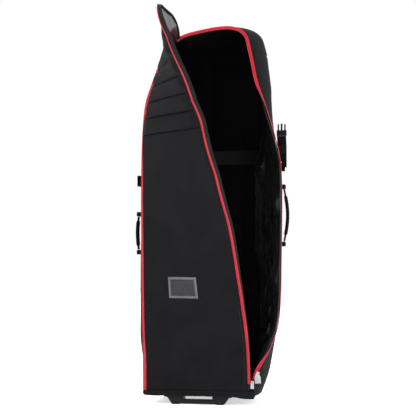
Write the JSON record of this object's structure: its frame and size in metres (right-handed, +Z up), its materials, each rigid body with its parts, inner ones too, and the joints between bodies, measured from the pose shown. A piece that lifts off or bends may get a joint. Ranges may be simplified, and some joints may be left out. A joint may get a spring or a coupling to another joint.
{
  "type": "golf travel case",
  "caption": "Soft-sided upright golf travel case with a zipped front lid peeled open, rear wheels, front foot and carry handles.",
  "frame": {"origin": "bottom centre of the whole object's box, on the floor under the open case", "axes": "+Z up, the lid and the front foot face -Y, +X is the side that the zip is open on"},
  "size_m": [0.547, 0.674, 1.3062],
  "materials": {
    "shell_fabric": "matte black woven polyester",
    "red_zip": "red zip tape and piping",
    "webbing": "black nylon webbing",
    "moulded_plastic": "black moulded plastic",
    "tyre": "black polyurethane tread",
    "steel": "plain steel",
    "nickel_pull": "satin nickel",
    "clear_vinyl": "smoky clear vinyl"
  },
  "bodies": {
    "case": {"right_wall": "shell_fabric", "top_panel": "shell_fabric", "left_wall": "shell_fabric", "back_panel": "shell_fabric", "base_board": "moulded_plastic", "rear_kick_plate": "moulded_plastic", "front_foot": "moulded_plastic", "front_sill": "shell_fabric", "wheel_housing_left": "moulded_plastic", "wheel_housing_right": "moulded_plastic", "axle_left": "steel", "axle_right": "steel", "bearing_left": "steel", "bearing_right": "steel", "housing_screw_front_left": "steel", "housing_screw_rear_left": "steel", "housing_screw_front_right": "steel", "housing_screw_rear_right": "steel", "zip_tape_rim": "red_zip", "zip_left_closed": "red_zip", "right_back_piping": "red_zip", "left_back_piping": "red_zip", "handle_tab_lower_left": "webbing", "handle_tab_upper_left": "webbing", "handle_tab_lower_right": "webbing", "handle_tab_upper_right": "webbing", "strap_anchor_right": "webbing", "strap_webbing_left": "webbing", "buckle_female": "moulded_plastic", "inner_strap": "webbing"},
    "lid_band_1": {"lid_lower_panel_1": "shell_fabric", "lid_zip_tape_1": "red_zip"},
    "lid_band_2": {"lid_lower_panel_2": "shell_fabric", "lid_zip_tape_2": "red_zip", "id_window_frame": "moulded_plastic", "id_window_pane": "clear_vinyl"},
    "lid_lower": {"lid_lower_panel_3": "shell_fabric", "lid_zip_tape_3": "red_zip"},
    "lid_band_4": {"lid_quilted_panel_1": "shell_fabric", "lid_zip_tape_4": "red_zip"},
    "lid_upper": {"lid_quilted_panel_2": "shell_fabric", "lid_zip_tape_5": "red_zip"},
    "wheel_left": {"tyre_left": "tyre", "hub_left": "moulded_plastic"},
    "wheel_right": {"tyre_right": "tyre", "hub_right": "moulded_plastic"},
    "slider_front": {"slider_front_body": "nickel_pull"},
    "pull_front": {"slider_front_pull": "nickel_pull"},
    "slider_rear": {"slider_rear_body": "nickel_pull"},
    "pull_rear": {"slider_rear_pull": "nickel_pull"},
    "handle_left": {"handle_grip_left": "webbing"},
    "handle_right": {"handle_grip_right": "webbing"},
    "strap_right": {"strap_webbing_right": "webbing", "ladder_lock_right": "moulded_plastic", "buckle_male": "moulded_plastic"}
  },
  "joints": [
    {"name": "lid_lower_swing", "type": "hinge", "parent": "case", "child": "lid_lower", "pos_m": [-0.215, 0.01345, 0.6], "axis": [0, 0, -1], "range_deg": [-45, 25]},
    {"name": "lid_band_1_swing", "type": "hinge", "parent": "case", "child": "lid_band_1", "pos_m": [-0.215, 0.01345, 0.6], "axis": [0, 0, -1], "range_deg": [-3.11, 1.73]},
    {"name": "lid_band_2_swing", "type": "hinge", "parent": "case", "child": "lid_band_2", "pos_m": [-0.215, 0.01345, 0.6], "axis": [0, 0, -1], "range_deg": [-21.71, 12.07]},
    {"name": "lid_upper_swing", "type": "hinge", "parent": "lid_lower", "child": "lid_upper", "pos_m": [-0.215, 0.01345, 0.6], "axis": [0, 0, -1], "range_deg": [-25, 30]},
    {"name": "lid_band_4_swing", "type": "hinge", "parent": "lid_lower", "child": "lid_band_4", "pos_m": [-0.215, 0.01345, 0.6], "axis": [0, 0, -1], "range_deg": [-3.9, 4.68]},
    {"name": "wheel_left_spin", "type": "hinge", "parent": "case", "child": "wheel_left", "pos_m": [-0.157, 0.30195, 0.035], "axis": [1, 0, 0], "continuous": true},
    {"name": "wheel_right_spin", "type": "hinge", "parent": "case", "child": "wheel_right", "pos_m": [0.107, 0.30195, 0.035], "axis": [1, 0, 0], "continuous": true},
    {"name": "slider_front_travel", "type": "slide", "parent": "case", "child": "slider_front", "axis": [0.4226, 0, 0.9063], "range_m": [0, 0.03]},
    {"name": "pull_front_flip", "type": "hinge", "parent": "slider_front", "child": "pull_front", "pos_m": [0.1825, 0.00885, 0.112], "axis": [-0.9976, 0, -0.0698], "range_deg": [0, 150]},
    {"name": "slider_rear_travel", "type": "slide", "parent": "case", "child": "slider_rear", "axis": [0.2079, 0, 0.9781], "range_m": [0, 0.005]},
    {"name": "pull_rear_flip", "type": "hinge", "parent": "slider_rear", "child": "pull_rear", "pos_m": [0.165, 0.00885, 0.08], "axis": [-1, 0, 0], "range_deg": [0, 100]},
    {"name": "handle_left_swing", "type": "hinge", "parent": "case", "child": "handle_left", "pos_m": [-0.2645, 0.17395, 0.5875], "axis": [0, 0, 1], "range_deg": [-25, 25]},
    {"name": "handle_right_swing", "type": "hinge", "parent": "case", "child": "handle_right", "pos_m": [0.2565, 0.17395, 0.649], "axis": [0, 0, 1], "range_deg": [-60, 60]},
    {"name": "strap_right_fold", "type": "hinge", "parent": "case", "child": "strap_right", "pos_m": [0.2495, 0.15395, 0.836], "axis": [1, 0, 0], "range_deg": [-85, 12]}
  ],
  "couplings": [
    {"joint": "lid_band_1_swing", "follows": "lid_lower_swing", "ratio": 0.0689},
    {"joint": "lid_band_2_swing", "follows": "lid_lower_swing", "ratio": 0.4822},
    {"joint": "lid_band_4_swing", "follows": "lid_upper_swing", "ratio": 0.156}
  ]
}
